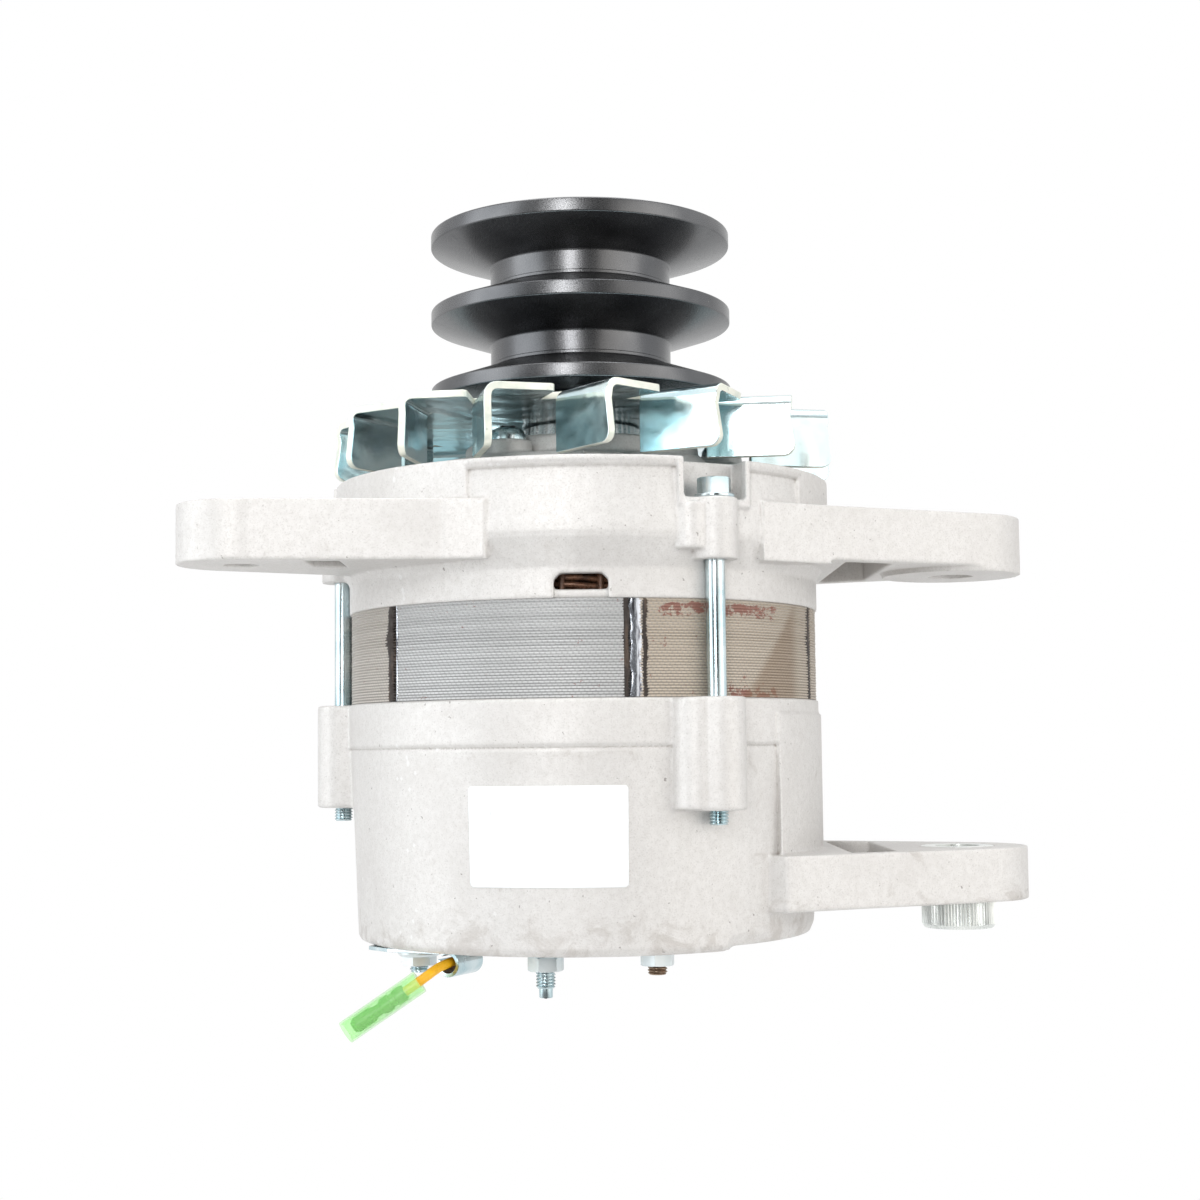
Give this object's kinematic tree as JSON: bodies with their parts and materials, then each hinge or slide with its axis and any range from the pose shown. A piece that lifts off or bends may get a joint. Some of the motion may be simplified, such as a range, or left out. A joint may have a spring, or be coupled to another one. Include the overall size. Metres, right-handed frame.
{
  "type": "alternator",
  "caption": "Belt-driven vehicle alternator with a grooved pulley, an outside cooling fan, cast end brackets around a laminated stator, pivot lugs and a short lead.",
  "frame": {"origin": "on the pivot bolt's axis, at the rear seat face of the front pivot lug", "axes": "+Z along the shaft towards the pulley, +X from the shaft to the pivot lugs, -Y the side with the label, which the picture shows"},
  "size_m": [0.2268, 0.1414, 0.2196],
  "materials": {
    "cast_aluminium": "satin, sand cast",
    "black_steel": "satin black",
    "zinc_steel": "blue zinc plated",
    "lamination_steel": "bare, some rust",
    "machined_steel": "ground",
    "forged_steel": "forged",
    "bearing_steel": "polished",
    "copper": "drawn copper",
    "enamelled_wire": "varnished",
    "carbon": "pressed carbon",
    "dark_plastic": "moulded",
    "brown_insulation": "pressed",
    "pale_insulation": "moulded",
    "label_film": "plain white film",
    "wire_insulation": "smooth",
    "green_sleeve": "clear green sleeve",
    "tinned_brass": "tinned",
    "black_rubber": "moulded"
  },
  "bodies": {
    "housing": {"front_bracket": "cast_aluminium", "rear_bracket": "cast_aluminium", "stator_core": "lamination_steel", "stator_winding": "enamelled_wire", "front_bearing_outer_race": "bearing_steel", "rear_bearing_outer_race": "bearing_steel", "bearing_retainer": "zinc_steel", "retainer_screws": "zinc_steel", "through_bolts": "zinc_steel", "through_bolt_washers": "zinc_steel", "rear_label": "label_film", "charge_stud": "zinc_steel", "charge_stud_nut": "zinc_steel", "charge_stud_insulator": "brown_insulation", "earth_stud": "zinc_steel", "earth_stud_nut": "zinc_steel", "clip_stud": "zinc_steel", "clip_stud_nut": "zinc_steel", "wire_clip": "zinc_steel", "positive_rectifier_plate": "cast_aluminium", "negative_rectifier_plate": "cast_aluminium", "positive_diodes": "machined_steel", "negative_diodes": "machined_steel", "rectifier_posts": "brown_insulation", "brush_holder": "dark_plastic", "upper_brush_spring": "machined_steel", "lower_brush_spring": "machined_steel", "voltage_regulator": "dark_plastic", "regulator_and_brush_screws": "zinc_steel", "regulator_lead": "wire_insulation", "lead_boot": "black_rubber", "terminal_sleeve": "green_sleeve", "bullet_terminal": "tinned_brass"},
    "rotor": {"rotor_shaft": "machined_steel", "shaft_key": "machined_steel", "belt_pulley": "black_steel", "pulley_nut": "zinc_steel", "pulley_lock_washer": "zinc_steel", "cooling_fan": "zinc_steel", "fan_collar": "machined_steel", "front_claw_pole": "forged_steel", "rear_claw_pole": "forged_steel", "field_coil": "enamelled_wire", "coil_bobbin": "pale_insulation", "slip_ring_sleeve": "dark_plastic", "slip_rings": "copper", "front_bearing_inner_race": "bearing_steel", "rear_bearing_inner_race": "bearing_steel"},
    "front_bearing_cage": {"front_bearing_balls": "bearing_steel"},
    "rear_bearing_cage": {"rear_bearing_balls": "bearing_steel"},
    "pivot_bush": {"slip_bush": "zinc_steel"},
    "upper_carbon": {"upper_brush": "carbon"},
    "lower_carbon": {"lower_brush": "carbon"}
  },
  "joints": [
    {"name": "rotor_spin", "type": "hinge", "parent": "housing", "child": "rotor", "pos_m": [-0.104, 0, 0], "axis": [0, 0, 1], "continuous": true},
    {"name": "front_bearing_roll", "type": "hinge", "parent": "housing", "child": "front_bearing_cage", "pos_m": [-0.104, 0, 0], "axis": [0, 0, 1], "continuous": true},
    {"name": "rear_bearing_roll", "type": "hinge", "parent": "housing", "child": "rear_bearing_cage", "pos_m": [-0.104, 0, 0], "axis": [0, 0, 1], "continuous": true},
    {"name": "bush_slide", "type": "slide", "parent": "housing", "child": "pivot_bush", "axis": [0, 0, 1], "range_m": [0, 0.005]},
    {"name": "upper_brush_slide", "type": "slide", "parent": "housing", "child": "upper_carbon", "axis": [0, 1, 0], "range_m": [0, 0.005], "stiffness_N_per_m": 100, "deforming": ["upper_brush_spring"]},
    {"name": "lower_brush_slide", "type": "slide", "parent": "housing", "child": "lower_carbon", "axis": [0, 1, 0], "range_m": [0, 0.005], "stiffness_N_per_m": 100, "deforming": ["lower_brush_spring"]}
  ],
  "couplings": [
    {"joint": "front_bearing_roll", "follows": "rotor_spin", "ratio": 0.372},
    {"joint": "rear_bearing_roll", "follows": "rotor_spin", "ratio": 0.3908}
  ]
}
